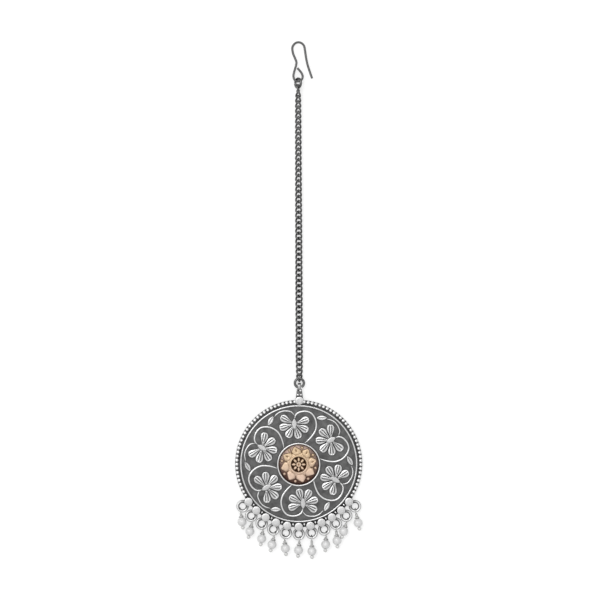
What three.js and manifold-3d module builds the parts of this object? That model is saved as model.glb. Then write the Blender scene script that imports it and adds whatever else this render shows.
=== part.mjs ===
// A maang tikka, the jewel that hangs from a hair parting onto the forehead: a bent wire hook, a jump ring,
// a fine curb chain, a second jump ring and a round cast pendant with a fringe of pearl drops.
//
// It lies on its back. Units are millimetres, +Z points out of the pendant's face, +Y runs up the chain to the
// hook, and the origin is the middle of the pendant's flat back. Nothing reaches below z = 0.
import * as THREE from "three";
import { mergeVertices } from "three/addons/utils/BufferGeometryUtils.js";
import Module from "manifold-3d";

const wasm = await Module();
wasm.setup();

// Pendant plate
const PLATE_RADIUS = 19.85;
const RIM_THICKNESS = 1;
const FIELD_THICKNESS = 1.15;
const BORDER_RADIUS = 18.05; // middle of the smooth wire inside the beads
const BORDER_WIDTH = 0.62;
const BORDER_RISE = 0.55; // over the field
const BEZEL_RADIUS = 6.55; // middle of the wall round the rosette
const BEZEL_DROP = 0.24; // from the pendant's middle towards the fringe, where the rosette was set
const BEZEL_WIDTH = 0.6;
const BEZEL_RISE = 0.9; // over the field
const RECESS_FLOOR = 0.75; // thickness of the plate under the rosette
const PLATE_SIDES = 32;

// Beads along the rim
const BEAD_RADIUS = 0.51;
const BEAD_INSET = 0.57; // from the plate's edge to a bead's middle
const BEAD_PITCH = 1.267;
const BEAD_TO_BAIL_DOME = 1.43; // along the rim, middle to middle
const BEAD_TO_FRINGE_DOME = 2.16;

// Fringe of domes and rings along the bottom of the rim
const FRINGE_COUNT = 11;
const FRINGE_PITCH = 4.06; // from one ring's middle to the next, along their circle
const DOME_RADIUS = 1.27;
const DOME_INSET = 0.19; // from the plate's edge in to a dome's middle
const DOME_RISE = 1.1; // over the rim
const FRINGE_RING_OUTSIDE = 1.92;
const FRINGE_RING_WIRE = 0.41; // radius of the ring's wire
const FRINGE_RING_REACH = 2.15; // from the plate's edge out to a ring's middle
const FRINGE_RING_HEIGHT = 1;

// Flowers, scrolls and leaves on the field
const FLOWER_COUNT = 6;
const FLOWER_BEARING = 36.3; // degrees from +X to the first flower's seed
const SEED_REACH = 12.5; // from the pendant's middle
const SEED_TURN = -11; // degrees from the seed's own radius to the middle of its petals
const SEED_TILT = 5; // degrees more to its own long axis
const SEED_LENGTH = 3.3;
const SEED_WIDTH = 1.85;
const SEED_RISE = 0.7;
const PETAL_REACH = 4.8; // from the seed's middle to a petal's tip
const PETAL_LENGTH = 3.95;
const PETAL_WIDTH = 2.4;
const PETAL_RISE = 0.5;
const PETAL_TURNS = [67, 111.5, 157]; // degrees from the seed's axis, on each side of it
const SCROLL_WIRE = 0.33;
const STEM_WIRE = 0.27;
const LEAF_LENGTH = 3.3;
const LEAF_WIDTH = 1.45;
const LEAF_RISE = 0.42;

// Each row is a point on the scroll that wraps a flower: its bearing clockwise from the flower's seed, in degrees,
// and its reach, as a share of the field between the bezel and the border.
const SCROLL_ROWS = [
  { bearing: 26.2, reach: -0.03 },
  { bearing: 32.5, reach: 0.18 },
  { bearing: 33.5, reach: 0.41 },
  { bearing: 30.5, reach: 0.6 },
  { bearing: 25.6, reach: 0.76 },
  { bearing: 19.8, reach: 0.865 },
  { bearing: 13.6, reach: 0.885 },
  { bearing: 7.4, reach: 0.85 },
  { bearing: 3, reach: 0.775 },
  { bearing: 0.9, reach: 0.66 },
];
const STEM_ROWS = [
  { bearing: 1.6, reach: 0.75 },
  { bearing: -1.8, reach: 0.865 },
  { bearing: -6, reach: 0.915 },
  { bearing: -11, reach: 0.945 },
  { bearing: -16, reach: 0.935 },
  { bearing: -21.5, reach: 0.885 },
];
const LEAF_ROW = { bearing: -26.9, reach: 0.84, turn: 27 }; // turn: from the rim's direction, towards the middle

// Outlines of the raised forms along their length: each row's half width, as a share of the form's own.
const PETAL_OUTLINE = [
  { along: 0, half: 0.3 },
  { along: 0.75, half: 1 },
  { along: 1, half: 0.5 },
];
const LEAF_OUTLINE = [
  { along: 0, half: 0.12 },
  { along: 0.45, half: 1 },
  { along: 1, half: 0.12 },
];
const SPOKE_OUTLINE = [
  { along: 0, half: 0.45 },
  { along: 1, half: 1 },
];
const ROSETTE_PETAL_OUTLINE = [
  { along: 0, half: 0.63 },
  { along: 0.5, half: 1 },
  { along: 0.66, half: 0.8 },
  { along: 1, half: 0.08 },
];
const TOP_WIDTH_SHARE = 0.7; // of the outline, at the top of its sloping sides
const TOP_LENGTH_SHARE = 0.86;

// Rosette in the bezel
const ROSETTE_CLEARANCE = 0.12; // to the bezel's wall and to the floor of the recess
const ROSETTE_THICKNESS = 0.4;
const ROSETTE_PETALS = 8;
const ROSETTE_BEARING = 13.2;
const ROSETTE_PETAL_REACH = 5.75;
const ROSETTE_PETAL_WIDTH = 3.5;
const ROSETTE_PETAL_RISE = 0.62;
const HUB_OUTSIDE = 2.95;
const HUB_INSIDE = 2.4;
const HUB_RISE = 0.8;
const SPOKE_REACH = 1.55;
const SPOKE_LENGTH = 1.15;
const SPOKE_WIDTH = 0.6;
const SPOKE_RISE = 0.4;
const BOSS_RADIUS = 0.72;
const DOT_REACH = 5.33;
const DOT_RADIUS = 0.42;

// Jump rings, and the bail that the lower one passes through
const BAIL_OFFSET = 0.2; // from the pendant's middle to the right, as the bail was soldered
const JUMP_OUTSIDE = 1.8;
const JUMP_WIRE = 0.4;
const JUMP_TOUCH = 0.12; // clearance where a ring meets the wire that it holds
const BAIL_WALL = 0.4;
const BAIL_SLOT_SLACK = 0.22; // over and under the jump ring's wire
const BAIL_SLOT_LENGTH = 1.7;
const BAIL_WIDTH = 1.1;
const BAIL_FOOT_WIDTH = 1.7;
const BAIL_LENGTH = 5.35; // from the plate's edge to the top of the loop
const BAIL_DOME_RADIUS = 1.2;
const BAIL_BEAD_RADIUS = 0.36;

// Curb chain
const LINK_COUNT = 56;
const LINK_WIRE = 0.31;
const LINK_WIDTH = 2.3;
const LINK_PITCH = 1.64;
const LINK_TWIST = 90; // degrees between a link's two ends
const LINK_BITE = 0.04; // how far neighbours press into each other, so that the chain is one solid
const CHAIN_LEAN = 0.25; // degrees that the chain leans left of the pendant's own axis
const HOOK_RING_ROLL = 52;
// How far the links are rolled about the chain's own line, from the hook's end to the pendant's, and how far they
// climb there to the ring's middle, as a share.
const ROLL_ROWS = [
  { along: 0, roll: HOOK_RING_ROLL + LINK_TWIST / 2, climb: 1 },
  { along: 0.1, roll: 55, climb: 0 },
  { along: 0.28, roll: 42, climb: 0 },
  { along: 0.52, roll: 16, climb: 0 },
  { along: 0.7, roll: 0, climb: 0 },
  { along: 0.92, roll: 0, climb: 0 },
  { along: 1, roll: -LINK_TWIST / 2, climb: 0 },
];

// Hook, bent from one wire
const HOOK_WIRE = 0.31;
const EYE_RADIUS = 1.42;
const CROOK_RADIUS = 1.95;
const CROOK_RISE = 8.85; // from the eye's middle to the crook's
const CROOK_OFFSET = 0.17;
const WAIST_OFFSET = -0.5;
const WAIST_SHARE = 0.48; // of the rise
const POINT_DROP = 9.35; // from the crook's middle down to the point
const POINT_SPLAY = 2.1;
const KINK_SHARE = 0.49; // of the drop
const KINK_SPLAY = 0.55;

// Pearl drops
const PEARL_RADIUS = 1.33;
const PEARL_BORE = 0.28;
const PIN_WIRE = 0.17;
const PIN_BALL_RADIUS = 0.58;
const PIN_BALL_GAP = 0.06;
const PIN_NECK_RADIUS = 0.36;
const PIN_EYE_INSIDE = 0.64;
const PIN_EYE_SLIP = 0.05; // how far an eye's middle is beyond the wire that it holds
const DROP_REACH = 3.65; // from an eye's middle to its pearl's
// How each drop lies, from the left: where its eye holds the ring and which way the drop points, in degrees to the
// right of straight down, and its reach as a share of the usual one.
const DROP_ROWS = [
  { hold: -27, turn: 8, reach: 1 },
  { hold: 17, turn: -14, reach: 1 },
  { hold: 20, turn: -9, reach: 0.94 },
  { hold: 17, turn: -14, reach: 0.97 },
  { hold: -20, turn: 6, reach: 0.97 },
  { hold: 12, turn: -6, reach: 1 },
  { hold: 0, turn: 1, reach: 1.18 },
  { hold: 25, turn: -3, reach: 0.95 },
  { hold: 4, turn: 4, reach: 1.08 },
  { hold: 13, turn: -18, reach: 1 },
  { hold: 8, turn: 12, reach: 1.07 },
];

// Worked out from the sizes above
const rimTop = RIM_THICKNESS;
const fieldTop = FIELD_THICKNESS;
const borderInside = BORDER_RADIUS - BORDER_WIDTH / 2;
const borderOutside = BORDER_RADIUS + BORDER_WIDTH / 2;
const bezelInside = BEZEL_RADIUS - BEZEL_WIDTH / 2;
const bezelOutside = BEZEL_RADIUS + BEZEL_WIDTH / 2;
const bezelTop = fieldTop + BEZEL_RISE;
const beadCircle = PLATE_RADIUS - BEAD_INSET;
const domeCircle = PLATE_RADIUS - DOME_INSET;
const fringeRingCircle = PLATE_RADIUS + FRINGE_RING_REACH;
const bailBearing = 90 - THREE.MathUtils.radToDeg(BAIL_OFFSET / domeCircle);
const fringeStep = THREE.MathUtils.radToDeg(FRINGE_PITCH / fringeRingCircle);
const fringeRingMiddle = FRINGE_RING_OUTSIDE - FRINGE_RING_WIRE;
const jumpMiddle = JUMP_OUTSIDE - JUMP_WIRE;
const linkLength = LINK_PITCH + 4 * LINK_WIRE - LINK_BITE;
const linkEnd = linkLength / 2 - LINK_WIRE; // from a link's middle to the middle of the wire at its end
const strungHeight = Math.max(LINK_WIDTH / 2, JUMP_WIRE + BAIL_SLOT_SLACK + BAIL_WALL);
const bailTop = PLATE_RADIUS + BAIL_LENGTH;
const bailSlotTop = bailTop - BAIL_WALL;
const jumpRingY = bailSlotTop - BAIL_SLOT_LENGTH + JUMP_WIRE + 2 * JUMP_TOUCH + jumpMiddle;
const firstLinkY = jumpRingY + jumpMiddle - JUMP_WIRE - JUMP_TOUCH - LINK_WIRE + linkEnd;
const lastLinkY = firstLinkY + (LINK_COUNT - 1) * LINK_PITCH;
const upperHeight = jumpMiddle * Math.sin(THREE.MathUtils.degToRad(HOOK_RING_ROLL)) + JUMP_WIRE;
const hookRingY = lastLinkY + linkEnd - LINK_WIRE - JUMP_TOUCH - JUMP_WIRE + jumpMiddle;
const eyeY = hookRingY + jumpMiddle - JUMP_WIRE - JUMP_TOUCH - HOOK_WIRE + EYE_RADIUS;

const radians = THREE.MathUtils.degToRad;
const lerp = THREE.MathUtils.lerp;

function polar(radius, degrees, z = 0) {
  return new THREE.Vector3(radius * Math.cos(radians(degrees)), radius * Math.sin(radians(degrees)), z);
}

// The value of one column of a table of rows at a place between two of its rows.
function between(rows, at, place, column) {
  const next = Math.max(1, rows.findIndex((row) => row[at] >= place));
  const [low, high] = [rows[next - 1], rows[next]];
  return lerp(low[column], high[column], (place - low[at]) / (high[at] - low[at]));
}

// Solids: three.js makes the shapes, and manifold-3d joins and cuts them.
function solidOf(geometry) {
  const bare = geometry.index ? geometry.toNonIndexed() : geometry.clone();
  bare.deleteAttribute("normal");
  bare.deleteAttribute("uv");
  const merged = mergeVertices(bare, 1e-4);
  return new wasm.Manifold(
    new wasm.Mesh({
      numProp: 3,
      vertProperties: merged.attributes.position.array,
      triVerts: new Uint32Array(merged.index.array),
    }),
  );
}

function geometryOf(solid) {
  const mesh = solid.getMesh();
  return new THREE.BufferGeometry()
    .setAttribute("position", new THREE.BufferAttribute(mesh.vertProperties, 3))
    .setIndex(new THREE.BufferAttribute(mesh.triVerts, 1));
}

const join = (solids) => wasm.Manifold.union(solids);

// A polygon that touches a circle of this radius from inside, with a flat side down.
function roundShape(radius, sides) {
  const corners = [];
  for (let i = 0; i < sides; i++) {
    const angle = ((i + 0.5) / sides) * 2 * Math.PI;
    corners.push(new THREE.Vector2(radius * Math.cos(angle), radius * Math.sin(angle)));
  }
  return new THREE.Shape(corners);
}

function wireAlong(curve, radius, sides, steps) {
  return new THREE.ExtrudeGeometry(roundShape(radius, sides), { extrudePath: curve, steps });
}

// A raised form along +Y about its middle, with sloping sides and a flat top.
function raised(outline, length, width, rise) {
  const right = outline.map((row) => new THREE.Vector2((row.half * width) / 2, (row.along - 0.5) * length));
  const left = right.map((corner) => new THREE.Vector2(-corner.x, corner.y)).reverse();
  const shape = new THREE.ExtrudeGeometry(new THREE.Shape([...right, ...left]), { depth: 1, bevelEnabled: false });
  const place = shape.attributes.position;
  for (let i = 0; i < place.count; i++) {
    const top = place.getZ(i) > 0.5;
    place.setXYZ(
      i,
      place.getX(i) * (top ? TOP_WIDTH_SHARE : 1),
      place.getY(i) * (top ? TOP_LENGTH_SHARE : 1),
      top ? rise : 0,
    );
  }
  return shape;
}

// Places a shape on the pendant's face: its own +Y points along a bearing, from a point.
function lay(shape, point, degrees) {
  return shape.rotateZ(radians(degrees - 90)).translate(point.x, point.y, point.z);
}

// A profile of radii and heights turned about +Z.
function turned(profile, sides) {
  return new THREE.LatheGeometry(profile.map(([radius, height]) => new THREE.Vector2(radius, height)), sides)
    .rotateX(Math.PI / 2);
}

// Plate, with its rim, border and field.
function plate() {
  return turned([
    [0, 0],
    [PLATE_RADIUS, 0],
    [PLATE_RADIUS, rimTop],
    [borderOutside, rimTop],
    [borderOutside - BORDER_WIDTH * 0.2, fieldTop + BORDER_RISE],
    [borderInside + BORDER_WIDTH * 0.2, fieldTop + BORDER_RISE],
    [borderInside, fieldTop],
    [0, fieldTop],
  ], PLATE_SIDES);
}

// The bezel, still full, and the recess for the rosette that is then cut into it.
function bezel() {
  return turned([
    [0, RECESS_FLOOR],
    [bezelOutside, RECESS_FLOOR],
    [bezelOutside, fieldTop],
    [bezelOutside - BEZEL_WIDTH * 0.2, bezelTop],
    [0, bezelTop],
  ], PLATE_SIDES).translate(0, -BEZEL_DROP, 0);
}

function recess() {
  return turned([
    [0, RECESS_FLOOR],
    [bezelInside, RECESS_FLOOR],
    [bezelInside, fieldTop],
    [bezelInside + BEZEL_WIDTH * 0.2, bezelTop],
    [bezelInside + BEZEL_WIDTH * 0.2, 2 * bezelTop],
    [0, 2 * bezelTop],
  ], PLATE_SIDES).translate(0, -BEZEL_DROP, 0);
}

// A dome, on a straight foot that sinks into what it stands on.
function dome(radius, rise, point) {
  const sides = 8;
  const profile = [[0, -0.4], [1, -0.4], [1, 0.1], [0.8, 0.75], [0, 1]];
  return turned(profile.map(([across, up]) => [radius * across, rise * up]), sides).translate(...point.toArray());
}

function rimBeads() {
  const fringeHalf = ((FRINGE_COUNT - 1) / 2) * fringeStep;
  const top = THREE.MathUtils.radToDeg(BEAD_TO_BAIL_DOME / beadCircle);
  const bottom = 180 - fringeHalf - THREE.MathUtils.radToDeg(BEAD_TO_FRINGE_DOME / beadCircle);
  const gaps = Math.round((radians(bottom - top) * beadCircle) / BEAD_PITCH);
  const bearings = [];
  for (let i = 0; i <= gaps; i++) {
    for (const side of [-1, 1]) bearings.push(lerp(bailBearing + side * top, 90 + side * bottom, i / gaps));
  }
  for (let i = 0; i < FRINGE_COUNT - 1; i++) bearings.push(270 - fringeHalf + (i + 0.5) * fringeStep);
  return bearings.map((bearing) => {
    const bead = new THREE.SphereGeometry(BEAD_RADIUS, 5, 3).rotateX(Math.PI / 2);
    return bead.translate(...polar(beadCircle, bearing, rimTop).toArray());
  });
}

const fringeBearing = (i) => 270 + (i - (FRINGE_COUNT - 1) / 2) * fringeStep;

function fringeRing(i) {
  const ring = new THREE.TorusGeometry(fringeRingMiddle, FRINGE_RING_WIRE, 5, 10);
  return ring.translate(...polar(fringeRingCircle, fringeBearing(i), FRINGE_RING_HEIGHT).toArray());
}

// A point on the field, from a bearing clockwise of a flower's seed and a reach as a share of the field.
function onField(flower, row, height) {
  const radius = lerp(bezelOutside, borderInside, row.reach);
  return polar(radius, flower - row.bearing, height);
}

function fieldCurve(flower, rows, height) {
  return new THREE.CatmullRomCurve3(rows.map((row) => onField(flower, row, height)));
}

function flowerRelief(i) {
  const flower = FLOWER_BEARING + (i * 360) / FLOWER_COUNT;
  const seed = polar(SEED_REACH, flower, fieldTop);
  const axis = flower + SEED_TURN;
  const petals = PETAL_TURNS.flatMap((turn) => [turn, -turn]).map((turn) => {
    const middle = polar(PETAL_REACH - PETAL_LENGTH / 2, axis + turn).add(seed);
    return lay(raised(PETAL_OUTLINE, PETAL_LENGTH, PETAL_WIDTH, PETAL_RISE), middle, axis + turn);
  });
  const leafPlace = onField(flower, LEAF_ROW, fieldTop);
  const leafAlong = flower - LEAF_ROW.bearing + 90 + LEAF_ROW.turn;
  return [
    ...petals,
    lay(raised(LEAF_OUTLINE, SEED_LENGTH, SEED_WIDTH, SEED_RISE), seed, axis + SEED_TILT),
    wireAlong(fieldCurve(flower, SCROLL_ROWS, fieldTop), SCROLL_WIRE, 6, 10),
    wireAlong(fieldCurve(flower, STEM_ROWS, fieldTop), STEM_WIRE, 4, 5),
    lay(raised(LEAF_OUTLINE, LEAF_LENGTH, LEAF_WIDTH, LEAF_RISE), leafPlace, leafAlong),
  ];
}

// The bail: a tapered foot on the rim, and a loop seen edge-on that the jump ring passes through.
function bail() {
  const slotHalf = JUMP_WIRE + BAIL_SLOT_SLACK;
  const slotBottom = bailSlotTop - BAIL_SLOT_LENGTH;
  const footY = PLATE_RADIUS - BEAD_INSET;
  const side = new THREE.Shape();
  side.moveTo(slotBottom - BAIL_WALL, -slotHalf - BAIL_WALL);
  side.lineTo(bailSlotTop - slotHalf, -slotHalf - BAIL_WALL);
  side.absarc(bailSlotTop - slotHalf, 0, slotHalf + BAIL_WALL, -Math.PI / 2, Math.PI / 2);
  side.lineTo(slotBottom - BAIL_WALL, slotHalf + BAIL_WALL);
  const slot = new THREE.Path();
  slot.absarc(bailSlotTop - slotHalf, 0, slotHalf, -Math.PI / 2, Math.PI / 2);
  slot.absarc(slotBottom + slotHalf, 0, slotHalf, Math.PI / 2, Math.PI * 1.5);
  side.holes.push(slot);
  const loop = new THREE.ExtrudeGeometry(side, { depth: BAIL_WIDTH, bevelEnabled: false, curveSegments: 3 });
  loop.translate(0, 0, -BAIL_WIDTH / 2);
  // The side view was drawn in X and Y: X becomes +Y, Y becomes +Z, and the width runs along X.
  loop.applyMatrix4(new THREE.Matrix4().makeBasis(
    new THREE.Vector3(0, 1, 0), new THREE.Vector3(0, 0, 1), new THREE.Vector3(1, 0, 0),
  ));
  loop.translate(0, 0, strungHeight);
  const foot = new THREE.Shape([
    new THREE.Vector2(-BAIL_FOOT_WIDTH / 2, footY),
    new THREE.Vector2(BAIL_FOOT_WIDTH / 2, footY),
    new THREE.Vector2(BAIL_WIDTH / 2, slotBottom - BAIL_WALL / 2),
    new THREE.Vector2(-BAIL_WIDTH / 2, slotBottom - BAIL_WALL / 2),
  ]);
  const footPlate = new THREE.ExtrudeGeometry(foot, { depth: rimTop + BAIL_WALL, bevelEnabled: false });
  const pairY = lerp(PLATE_RADIUS, slotBottom, 0.5);
  const singleY = lerp(PLATE_RADIUS, slotBottom, 0.88);
  const beadHeight = rimTop + BAIL_WALL;
  const beads = [[-BAIL_WIDTH * 0.38, pairY], [BAIL_WIDTH * 0.38, pairY], [BAIL_WIDTH * 0.2, singleY]].map(([x, y]) =>
    new THREE.SphereGeometry(BAIL_BEAD_RADIUS, 5, 3).rotateX(Math.PI / 2).translate(x, y, beadHeight));
  const topDome = dome(BAIL_DOME_RADIUS, DOME_RISE, polar(domeCircle, bailBearing, rimTop));
  return [...[loop, footPlate, ...beads].map((piece) => piece.translate(BAIL_OFFSET, 0, 0)), topDome];
}

function pendant() {
  const fringe = [...Array(FRINGE_COUNT).keys()];
  const pieces = [
    plate(),
    bezel(),
    ...rimBeads(),
    ...fringe.map((i) => dome(DOME_RADIUS, DOME_RISE, polar(domeCircle, fringeBearing(i), rimTop))),
    ...fringe.map(fringeRing),
    ...[...Array(FLOWER_COUNT).keys()].flatMap(flowerRelief),
    ...bail(),
  ];
  return geometryOf(join(pieces.map(solidOf)).subtract(solidOf(recess())));
}

// The rosette: a thin cup with eight pointed petals, a dot between each two, and a wheel of spokes in its hub.
function rosette() {
  const floor = RECESS_FLOOR + ROSETTE_CLEARANCE;
  const top = floor + ROSETTE_THICKNESS;
  const radius = bezelInside - ROSETTE_CLEARANCE;
  const petalLength = ROSETTE_PETAL_REACH - (HUB_OUTSIDE + HUB_INSIDE) / 2;
  const profile = [
    [0, floor],
    [radius, floor],
    [radius, top],
    [HUB_OUTSIDE, top],
    [HUB_OUTSIDE, top + HUB_RISE],
    [HUB_INSIDE, top + HUB_RISE],
    [HUB_INSIDE, top],
    [0, top],
  ];
  const pieces = [turned(profile, 16)];
  for (let i = 0; i < ROSETTE_PETALS; i++) {
    const step = 360 / ROSETTE_PETALS;
    const bearing = ROSETTE_BEARING + i * step;
    const petal = raised(ROSETTE_PETAL_OUTLINE, petalLength, ROSETTE_PETAL_WIDTH, ROSETTE_PETAL_RISE);
    pieces.push(lay(petal, polar(ROSETTE_PETAL_REACH - petalLength / 2, bearing, top), bearing));
    const dot = new THREE.SphereGeometry(DOT_RADIUS, 5, 3).rotateX(Math.PI / 2);
    pieces.push(dot.translate(...polar(DOT_REACH, bearing + step / 2, top).toArray()));
    const spoke = raised(SPOKE_OUTLINE, SPOKE_LENGTH, SPOKE_WIDTH, SPOKE_RISE);
    pieces.push(lay(spoke, polar(SPOKE_REACH, i * step, top), i * step));
  }
  pieces.push(dome(BOSS_RADIUS, SPOKE_RISE, new THREE.Vector3(0, 0, top)));
  return geometryOf(join(pieces.map(solidOf)).translate(0, -BEZEL_DROP, 0));
}

// One curb link: an oval ring twisted about its own length, so that its ends lie across each other. Its wire has an
// edge, not a flat, on the inside, where the next link's bears on it.
function curbLink() {
  const sides = 10;
  const middle = LINK_WIDTH / 2 - LINK_WIRE;
  const ring = new THREE.TorusGeometry(middle, LINK_WIRE, 5, sides);
  const stretch = linkEnd - middle * Math.cos(Math.PI / sides);
  const place = ring.attributes.position;
  const turned = new THREE.Vector3();
  const axis = new THREE.Vector3(0, 1, 0);
  for (let i = 0; i < place.count; i++) {
    turned.fromBufferAttribute(place, i);
    const reach = Math.hypot(turned.x, turned.y);
    turned.multiply(new THREE.Vector3(2 * middle / reach - 1, 2 * middle / reach - 1, -1));
    turned.y += stretch * THREE.MathUtils.clamp(turned.y / LINK_WIRE, -1, 1);
    turned.applyAxisAngle(axis, -radians(LINK_TWIST) * THREE.MathUtils.clamp(turned.y / (2 * linkEnd), -0.5, 0.5));
    place.setXYZ(i, turned.x, turned.y, turned.z);
  }
  return ring;
}

// The chain: each link rolled about the chain's line and raised as the table says.
function chain() {
  const links = [];
  for (let i = 0; i < LINK_COUNT; i++) {
    const fromHook = 1 - i / (LINK_COUNT - 1);
    const link = curbLink().rotateY(-radians(between(ROLL_ROWS, "along", fromHook, "roll")));
    const height = lerp(strungHeight, upperHeight, between(ROLL_ROWS, "along", fromHook, "climb"));
    links.push(solidOf(link.translate(0, firstLinkY + i * LINK_PITCH, height)));
  }
  return geometryOf(join(links));
}

function jumpRing(roll) {
  return new THREE.TorusGeometry(jumpMiddle, JUMP_WIRE, 5, 12).rotateY(-radians(roll));
}

// The hook's line, drawn flat round the eye's middle: from the point, over the crook, in at the waist and round the eye.
function hookLine() {
  const points = [];
  const add = (x, y) => points.push(new THREE.Vector3(x, y, 0));
  const outer = CROOK_OFFSET + CROOK_RADIUS;
  add(outer + POINT_SPLAY, CROOK_RISE - POINT_DROP);
  add(outer + KINK_SPLAY, CROOK_RISE - POINT_DROP * KINK_SHARE);
  for (const degrees of [0, 45, 90, 135, 180]) {
    add(
      CROOK_OFFSET + CROOK_RADIUS * Math.cos(radians(degrees)),
      CROOK_RISE + CROOK_RADIUS * Math.sin(radians(degrees)),
    );
  }
  add(WAIST_OFFSET, CROOK_RISE * WAIST_SHARE);
  for (const degrees of [180, 225, 270, 315, 360]) {
    add(EYE_RADIUS * Math.cos(radians(degrees)), EYE_RADIUS * Math.sin(radians(degrees)));
  }
  const shankAtEnd = lerp(-EYE_RADIUS, WAIST_OFFSET, 0.6);
  add(shankAtEnd + 2 * HOOK_WIRE + 0.12, CROOK_RISE * WAIST_SHARE * 0.6);
  return new THREE.CatmullRomCurve3(points, false, "centripetal");
}

function pearl() {
  const profile = [new THREE.Vector2(PEARL_BORE, -Math.sqrt(PEARL_RADIUS ** 2 - PEARL_BORE ** 2))];
  for (const degrees of [-42, 0, 42]) {
    profile.push(new THREE.Vector2(PEARL_RADIUS * Math.cos(radians(degrees)), PEARL_RADIUS * Math.sin(radians(degrees))));
  }
  profile.push(new THREE.Vector2(PEARL_BORE, Math.sqrt(PEARL_RADIUS ** 2 - PEARL_BORE ** 2)));
  profile.push(profile[0].clone());
  return new THREE.LatheGeometry(profile, 10);
}

// A pin along +Y: a ball under the pearl, the shank through it, the wrapped neck and the eye.
function pin(reach) {
  const eyeMiddle = PIN_EYE_INSIDE + PIN_WIRE;
  const ballTop = -PEARL_RADIUS - PIN_BALL_GAP;
  const neckFoot = PEARL_RADIUS + PIN_BALL_GAP;
  const profile = [
    [0, ballTop - 2 * PIN_BALL_RADIUS],
    [0.87 * PIN_BALL_RADIUS, ballTop - 1.5 * PIN_BALL_RADIUS],
    [0.87 * PIN_BALL_RADIUS, ballTop - 0.5 * PIN_BALL_RADIUS],
    [PIN_WIRE, ballTop],
    [PIN_WIRE, neckFoot],
    [PIN_NECK_RADIUS, neckFoot],
    [PIN_NECK_RADIUS, reach - eyeMiddle],
    [0, reach - eyeMiddle],
  ];
  const shank = new THREE.LatheGeometry(profile.map(([across, up]) => new THREE.Vector2(across, up)), 5);
  const eye = new THREE.TorusGeometry(eyeMiddle, PIN_WIRE, 4, 8).rotateZ(Math.PI / 8);
  eye.rotateY(Math.PI / 2).translate(0, reach, 0);
  return geometryOf(join([shank, eye].map(solidOf)));
}

// One drop, with its pearl's middle at its own middle: it hangs off its ring and lies with its pearl on the surface.
function drop(i) {
  const row = DROP_ROWS[i];
  const number = String(i + 1).padStart(2, "0");
  const reach = row.reach * DROP_REACH;
  const rise = PEARL_RADIUS - FRINGE_RING_HEIGHT;
  const down = polar(Math.sqrt(1 - (rise / reach) ** 2), 270 + row.turn, rise / reach);
  const lying = new THREE.Group();
  lying.position.copy(polar(fringeRingCircle, fringeBearing(i), FRINGE_RING_HEIGHT));
  lying.position.add(polar(fringeRingMiddle, 270 + row.hold)).addScaledVector(down, reach + PIN_EYE_SLIP);
  lying.quaternion.setFromUnitVectors(new THREE.Vector3(0, -1, 0), down);
  lying.add(
    named("pearl_" + number, pearl(), pearlWhite),
    named("pin_" + number, pin(reach), brightSilver),
  );
  return lying;
}

// Metals and pearl
const darkSilver = new THREE.MeshStandardMaterial({ color: 0x8c8c8b, roughness: 0.38, metalness: 1 });
const chainSilver = new THREE.MeshStandardMaterial({ color: 0x6e6e6d, roughness: 0.35, metalness: 1 });
const goldTone = new THREE.MeshStandardMaterial({ color: 0xd9bb8a, roughness: 0.4, metalness: 1 });
const brightSilver = new THREE.MeshStandardMaterial({ color: 0xc9c8c4, roughness: 0.3, metalness: 1 });
const pearlWhite = new THREE.MeshStandardMaterial({ color: 0xe6e4df, roughness: 0.3, metalness: 0 });

function named(name, geometry, material) {
  const mesh = new THREE.Mesh(geometry, material);
  mesh.name = name;
  return mesh;
}

function maangTikka() {
  const jewel = new THREE.Group();
  jewel.add(named("pendant", pendant(), darkSilver), named("rosette", rosette(), goldTone));

  const lowerRing = named("jump_ring", jumpRing(0), chainSilver);
  lowerRing.position.set(BAIL_OFFSET, jumpRingY, strungHeight);
  jewel.add(lowerRing);

  // The strand leans about the lower jump ring, as one.
  const strand = new THREE.Group();
  strand.position.set(BAIL_OFFSET, jumpRingY, 0);
  strand.rotation.z = radians(CHAIN_LEAN);
  const links = named("chain", chain(), chainSilver);
  links.position.y = -jumpRingY;
  const upperRing = named("hook_ring", jumpRing(HOOK_RING_ROLL), chainSilver);
  upperRing.position.set(0, hookRingY - jumpRingY, upperHeight);
  const hook = named("hook", wireAlong(hookLine(), HOOK_WIRE, 5, 26), chainSilver);
  const fall = Math.asin((upperHeight - HOOK_WIRE) / (CROOK_RISE + CROOK_RADIUS + EYE_RADIUS));
  hook.rotation.x = -fall;
  hook.position.set(0, eyeY - jumpRingY, upperHeight - EYE_RADIUS * Math.sin(fall));
  strand.add(links, upperRing, hook);
  jewel.add(strand);

  for (let i = 0; i < FRINGE_COUNT; i++) jewel.add(drop(i));
  return jewel;
}

export default maangTikka();
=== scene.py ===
import math

import bmesh
import bpy
from mathutils import Matrix, Vector


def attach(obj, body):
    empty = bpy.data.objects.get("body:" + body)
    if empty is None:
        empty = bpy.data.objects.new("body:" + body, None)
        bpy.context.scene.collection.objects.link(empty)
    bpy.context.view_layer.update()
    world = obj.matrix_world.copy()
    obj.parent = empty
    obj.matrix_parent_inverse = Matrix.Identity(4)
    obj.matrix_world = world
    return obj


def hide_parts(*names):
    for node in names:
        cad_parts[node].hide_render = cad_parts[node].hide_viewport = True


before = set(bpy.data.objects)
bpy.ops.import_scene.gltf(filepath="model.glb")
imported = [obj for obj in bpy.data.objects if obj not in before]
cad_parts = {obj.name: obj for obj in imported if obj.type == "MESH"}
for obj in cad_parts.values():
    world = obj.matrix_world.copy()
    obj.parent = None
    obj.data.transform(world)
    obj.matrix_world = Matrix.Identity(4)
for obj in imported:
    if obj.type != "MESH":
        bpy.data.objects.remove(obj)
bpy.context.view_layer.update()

# Pendant plate, from the face of its back
PLATE_RADIUS = 19.85
RIM_TOP = 1
BACK_CHAMFER = 0.1
RIM_CHAMFER = 0.12
FIELD_TOP = 1.15
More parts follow.
